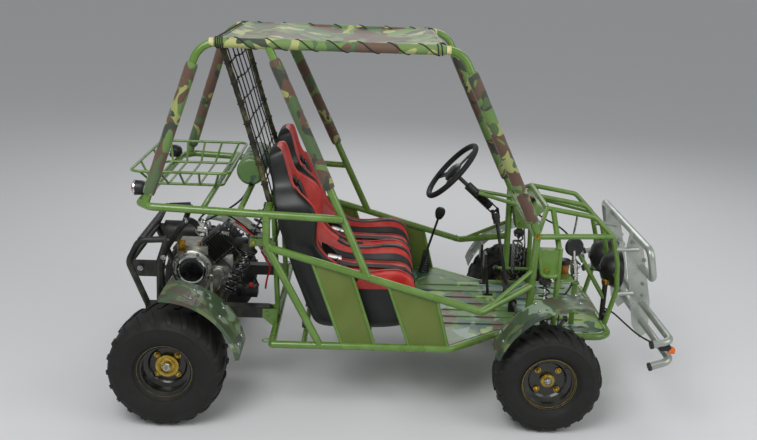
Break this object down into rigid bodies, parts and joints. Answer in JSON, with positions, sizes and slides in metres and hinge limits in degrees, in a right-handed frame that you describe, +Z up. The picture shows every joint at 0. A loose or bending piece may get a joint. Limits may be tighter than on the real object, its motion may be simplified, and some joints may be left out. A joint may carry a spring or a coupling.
{
  "type": "two-seat off-road cage kart",
  "caption": "Off-road kart with a tube frame, padded roll cage, canopy, rear engine, cargo rack and balloon tyres; wheels roll and the front wheels steer.",
  "frame": {"origin": "on the ground under the middle of the kart's box", "axes": "+X forward, +Y to the kart's left, +Z up"},
  "size_m": [2.3645, 1.32, 1.5805],
  "materials": {
    "green_paint": "gloss enamel",
    "olive_panel": "satin enamel",
    "camo_paint": "four-colour camouflage film",
    "camo_cloth": "printed camouflage nylon",
    "black_cord": "knotted cord",
    "black_paint": "satin powder coat",
    "spring_steel": "black spring enamel",
    "cast_alloy": "cast and machined",
    "zinc_plate": "yellow zinc plate",
    "rim_paint": "gloss black enamel",
    "tyre_rubber": "matte moulded rubber",
    "grip": "moulded foam grip",
    "seat_cover": "black vinyl with red fabric inserts",
    "silver_paint": "silver metallic enamel",
    "lamp": "clear and coloured lenses"
  },
  "bodies": {
    "chassis": {"lower_frame": "green_paint", "upper_rail": "green_paint", "side_frame_left": "green_paint", "side_frame_right": "green_paint", "side_panels": "olive_panel", "floor_pan": "camo_paint", "front_frame": "green_paint", "roll_cage": "green_paint", "cage_pads": "camo_cloth", "roof_canopy": "camo_cloth", "rear_net": "black_cord", "cargo_rack": "green_paint", "swing_arm": "black_paint", "rear_guard": "black_paint", "engine_case": "cast_alloy", "engine_cylinder": "black_paint", "intake": "cast_alloy", "exhaust": "black_paint", "fuel_tank": "camo_paint", "rear_mounts": "green_paint", "rear_shocks": "spring_steel", "rear_fenders": "camo_paint", "front_arms": "black_paint", "front_shocks": "spring_steel", "steering_column": "black_paint", "pedals": "black_paint", "gear_lever": "black_paint", "seat_left": "seat_cover", "seat_right": "seat_cover", "front_bumper": "silver_paint", "headlights": "lamp", "tail_lamps": "lamp"},
    "rear_axle": {"rear_axle": "zinc_plate", "rear_rim_left": "rim_paint", "rear_rim_right": "rim_paint", "rear_tyre_left": "tyre_rubber", "rear_tyre_right": "tyre_rubber"},
    "steering_wheel": {"steering_wheel": "grip"},
    "steering_rack": {"tie_rods": "black_paint"},
    "knuckle_left": {"knuckle_left": "black_paint", "front_fender_left": "camo_paint"},
    "knuckle_right": {"knuckle_right": "black_paint", "front_fender_right": "camo_paint"},
    "front_wheel_left": {"front_rim_left": "rim_paint", "front_hub_left": "zinc_plate", "front_tyre_left": "tyre_rubber"},
    "front_wheel_right": {"front_rim_right": "rim_paint", "front_hub_right": "zinc_plate", "front_tyre_right": "tyre_rubber"}
  },
  "joints": [
    {"name": "rear_axle_spin", "type": "hinge", "parent": "chassis", "child": "rear_axle", "pos_m": [-0.9375, 0, 0.245], "axis": [0, 1, 0], "continuous": true},
    {"name": "steering", "type": "hinge", "parent": "chassis", "child": "steering_wheel", "pos_m": [0.2775, 0.2, 0.93], "axis": [-0.7515, 0, 0.6597], "range_deg": [-120, 120]},
    {"name": "rack_slide", "type": "slide", "parent": "chassis", "child": "steering_rack", "axis": [0, -1, 0], "range_m": [-0.0425, 0.0425]},
    {"name": "kingpin_left", "type": "hinge", "parent": "chassis", "child": "knuckle_left", "pos_m": [0.6525, 0.44, 0.225], "axis": [0, 0, 1], "range_deg": [-28.1, 28.1]},
    {"name": "front_wheel_left_spin", "type": "hinge", "parent": "knuckle_left", "child": "front_wheel_left", "pos_m": [0.6525, 0.54, 0.225], "axis": [0, 1, 0], "continuous": true},
    {"name": "kingpin_right", "type": "hinge", "parent": "chassis", "child": "knuckle_right", "pos_m": [0.6525, -0.44, 0.225], "axis": [0, 0, 1], "range_deg": [-28.1, 28.1]},
    {"name": "front_wheel_right_spin", "type": "hinge", "parent": "knuckle_right", "child": "front_wheel_right", "pos_m": [0.6525, -0.54, 0.225], "axis": [0, 1, 0], "continuous": true}
  ],
  "couplings": [
    {"joint": "rack_slide", "follows": "steering", "m_per_rad": 0.020174},
    {"joint": "kingpin_left", "follows": "steering", "ratio": 0.23333},
    {"joint": "kingpin_right", "follows": "steering", "ratio": 0.23333}
  ]
}
